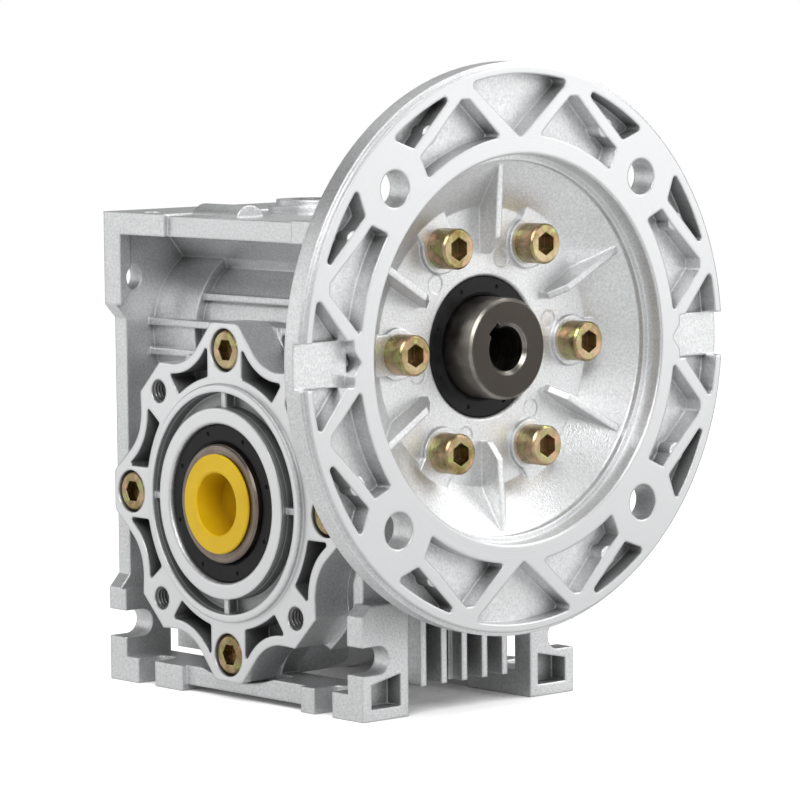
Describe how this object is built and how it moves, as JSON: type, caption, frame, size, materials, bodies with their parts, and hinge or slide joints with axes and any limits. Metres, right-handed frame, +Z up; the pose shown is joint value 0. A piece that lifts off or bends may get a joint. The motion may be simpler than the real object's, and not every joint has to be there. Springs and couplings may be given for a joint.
{
  "type": "worm gearbox",
  "caption": "Right-angle worm gearbox: cast housing with feet and fins, lobed side cover, hollow output shaft and a dished round motor flange with a bored input shaft.",
  "frame": {"origin": "on the output shaft's axis, midway between the shaft's two ends", "axes": "+X along the worm axis towards the motor flange, +Y along the output axis away from the plugged end, +Z up from the feet to the worm"},
  "size_m": [0.12, 0.14, 0.16],
  "materials": {
    "cast_alloy": "shot-blasted die casting with machined faces",
    "zinc_screw": "yellow zinc plated",
    "seal_rubber": "satin",
    "gasket_fibre": "matt",
    "shaft_steel": "ground and oiled",
    "bearing_steel": "polished",
    "cage_steel": "pressed sheet",
    "spring_steel": "black oxide",
    "hub_iron": "turned and oiled",
    "wheel_bronze": "hobbed bronze",
    "yellow_plastic": "satin",
    "plug_steel": "zinc plated"
  },
  "bodies": {
    "housing": {"housing": "cast_alloy", "side_cover": "cast_alloy", "side_cover_screws": "zinc_screw", "side_cover_o_ring": "seal_rubber", "input_flange": "cast_alloy", "input_flange_screws": "zinc_screw", "flange_gasket": "gasket_fibre", "input_oil_seal": "seal_rubber", "output_seal_near": "seal_rubber", "output_seal_far": "seal_rubber", "rear_end_cap": "seal_rubber", "oil_plug": "plug_steel", "housing_circlip": "spring_steel", "output_bearing_near_outer_ring": "bearing_steel", "output_bearing_far_outer_ring": "bearing_steel", "worm_bearing_front_outer_ring": "bearing_steel", "worm_bearing_rear_outer_ring": "bearing_steel"},
    "output": {"output_hub": "hub_iron", "worm_wheel_rim": "wheel_bronze", "output_bearing_near_inner_ring": "bearing_steel", "output_bearing_far_inner_ring": "bearing_steel"},
    "worm": {"worm_shaft": "shaft_steel", "worm_shaft_circlip": "spring_steel", "worm_bearing_front_inner_ring": "bearing_steel", "worm_bearing_rear_inner_ring": "bearing_steel"},
    "plug": {"bore_plug": "yellow_plastic"},
    "near_cage": {"output_bearing_near_balls": "bearing_steel", "output_bearing_near_cage": "cage_steel"},
    "far_cage": {"output_bearing_far_balls": "bearing_steel", "output_bearing_far_cage": "cage_steel"},
    "front_cage": {"worm_bearing_front_balls": "bearing_steel", "worm_bearing_front_cage": "cage_steel"},
    "rear_cage": {"worm_bearing_rear_balls": "bearing_steel", "worm_bearing_rear_cage": "cage_steel"}
  },
  "joints": [
    {"name": "output_spin", "type": "hinge", "parent": "housing", "child": "output", "pos_m": [0, 0, 0], "axis": [0, 1, 0], "continuous": true},
    {"name": "worm_spin", "type": "hinge", "parent": "housing", "child": "worm", "pos_m": [0, 0, 0.04], "axis": [1, 0, 0], "continuous": true},
    {"name": "near_cage_spin", "type": "hinge", "parent": "housing", "child": "near_cage", "pos_m": [0, -0.0239, 0], "axis": [0, 1, 0], "continuous": true},
    {"name": "far_cage_spin", "type": "hinge", "parent": "housing", "child": "far_cage", "pos_m": [0, 0.0239, 0], "axis": [0, 1, 0], "continuous": true},
    {"name": "front_cage_spin", "type": "hinge", "parent": "housing", "child": "front_cage", "pos_m": [0.0418, 0, 0.04], "axis": [1, 0, 0], "continuous": true},
    {"name": "rear_cage_spin", "type": "hinge", "parent": "housing", "child": "rear_cage", "pos_m": [-0.039, 0, 0.04], "axis": [1, 0, 0], "continuous": true},
    {"name": "plug_pull", "type": "slide", "parent": "output", "child": "plug", "axis": [0, -1, 0], "range_m": [0, 0.03]}
  ],
  "couplings": [
    {"joint": "worm_spin", "follows": "output_spin", "ratio": -30},
    {"joint": "near_cage_spin", "follows": "output_spin", "ratio": 0.416},
    {"joint": "far_cage_spin", "follows": "output_spin", "ratio": 0.416},
    {"joint": "front_cage_spin", "follows": "output_spin", "ratio": -12.25},
    {"joint": "rear_cage_spin", "follows": "output_spin", "ratio": -11.449}
  ]
}
